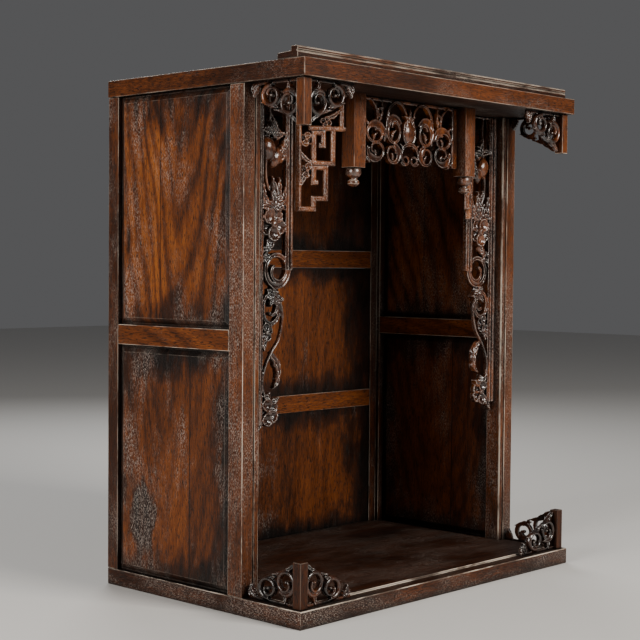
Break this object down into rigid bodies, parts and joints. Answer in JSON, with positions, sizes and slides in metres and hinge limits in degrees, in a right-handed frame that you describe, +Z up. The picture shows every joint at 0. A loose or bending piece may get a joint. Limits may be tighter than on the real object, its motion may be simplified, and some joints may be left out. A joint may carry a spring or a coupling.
{
  "type": "household altar cabinet",
  "caption": "Open-fronted panelled case between a base and a roof board, with a shallow porch, square hanging posts and openwork carving at its corners, lintel and doorway.",
  "frame": {"origin": "middle of the underside of the whole cabinet's box, on the surface it stands on", "axes": "+X to the right seen from the front, -Y towards the open front, +Z up"},
  "size_m": [0.5, 0.322, 0.611],
  "materials": {
    "frame_wood": "dark stained open-grained hardwood, semi-gloss wax, pale wax left in the pores and light edges",
    "panel_wood": "dark stained hardwood with a red-brown figure, semi-gloss wax, pale wax left in the pores",
    "carved_wood": "near-black stained carved hardwood, waxed, with light worn edges"
  },
  "bodies": {
    "root": {"base_board": "frame_wood", "roof_board": "frame_wood", "front_post_left": "frame_wood", "rear_post_left": "frame_wood", "side_rail_left": "frame_wood", "roof_corner_post_left": "frame_wood", "base_corner_post_left": "frame_wood", "hanging_post_left": "frame_wood", "front_post_right": "frame_wood", "rear_post_right": "frame_wood", "side_rail_right": "frame_wood", "roof_corner_post_right": "frame_wood", "base_corner_post_right": "frame_wood", "hanging_post_right": "frame_wood", "back_rail_lower": "frame_wood", "back_rail_upper": "frame_wood", "back_panel_lower": "panel_wood", "back_panel_middle": "panel_wood", "back_panel_upper": "panel_wood", "side_panel_lower_left": "panel_wood", "side_panel_upper_left": "panel_wood", "side_panel_lower_right": "panel_wood", "side_panel_upper_right": "panel_wood", "crown_strip": "carved_wood", "carved_lintel": "carved_wood", "roof_front_wing_left": "carved_wood", "roof_side_wing_left": "carved_wood", "base_front_wing_left": "carved_wood", "base_side_wing_left": "carved_wood", "carved_drop_left": "carved_wood", "key_bracket_left": "carved_wood", "roof_front_wing_right": "carved_wood", "roof_side_wing_right": "carved_wood", "base_front_wing_right": "carved_wood", "base_side_wing_right": "carved_wood", "carved_drop_right": "carved_wood", "key_bracket_right": "carved_wood"}
  },
  "joints": []
}
